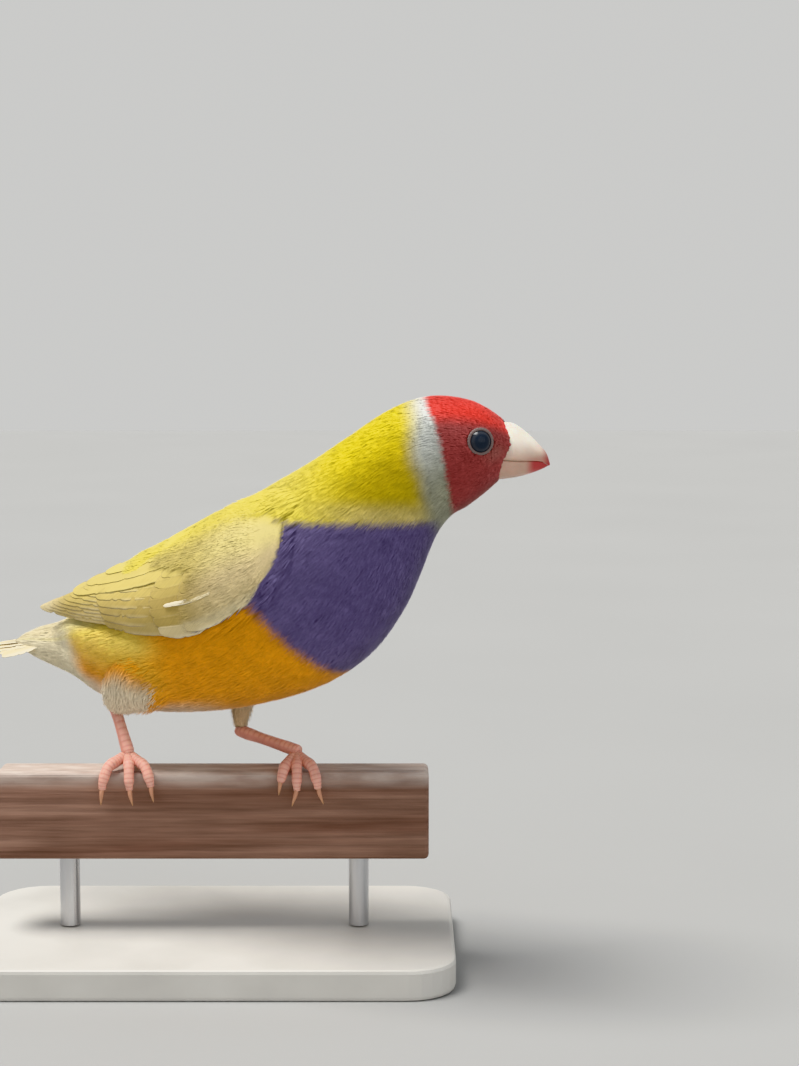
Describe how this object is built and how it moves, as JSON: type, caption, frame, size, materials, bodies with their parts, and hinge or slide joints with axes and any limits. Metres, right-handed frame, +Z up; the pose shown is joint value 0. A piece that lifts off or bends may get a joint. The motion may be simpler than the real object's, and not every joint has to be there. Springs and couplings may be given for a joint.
{
  "type": "gouldian finch",
  "caption": "Life-size still model of a small red-headed, purple-breasted, yellow-backed finch gripping a cut length of wooden perch on a plain display stand.",
  "frame": {"origin": "centre of the display base's underside", "axes": "+Z up; +X along the perch, the way the bird's bill points; -Y towards the side that the picture is taken from"},
  "size_m": [0.1174, 0.06, 0.1126],
  "materials": {
    "red_feathers": "short scarlet face feathers with a soft sheen",
    "yellow_feathers": "small golden yellow feathers, matt",
    "purple_feathers": "small deep purple feathers, matt",
    "cream_feathers": "pale yellow to cream flight feathers, satin",
    "bill_horn": "smooth ivory horn, pinkish red at the tip",
    "eye": "wet, nearly black",
    "leg_skin": "pink scaled skin",
    "perch_wood": "reddish brown sawn lath, worn and greyer along its top edge",
    "stand_base": "plain off-white, fine satin",
    "stand_rod": "brushed"
  },
  "bodies": {
    "root": {"head": "red_feathers", "neck": "yellow_feathers", "torso": "purple_feathers", "tail": "cream_feathers", "wing_left": "cream_feathers", "wing_right": "cream_feathers", "thigh_left": "cream_feathers", "thigh_right": "cream_feathers", "bill_upper": "bill_horn", "bill_lower": "bill_horn", "eye_left": "eye", "eye_right": "eye", "foot_left": "leg_skin", "foot_right": "leg_skin", "perch": "perch_wood", "stand_base": "stand_base", "stand_rod_left": "stand_rod", "stand_rod_right": "stand_rod"}
  },
  "joints": []
}
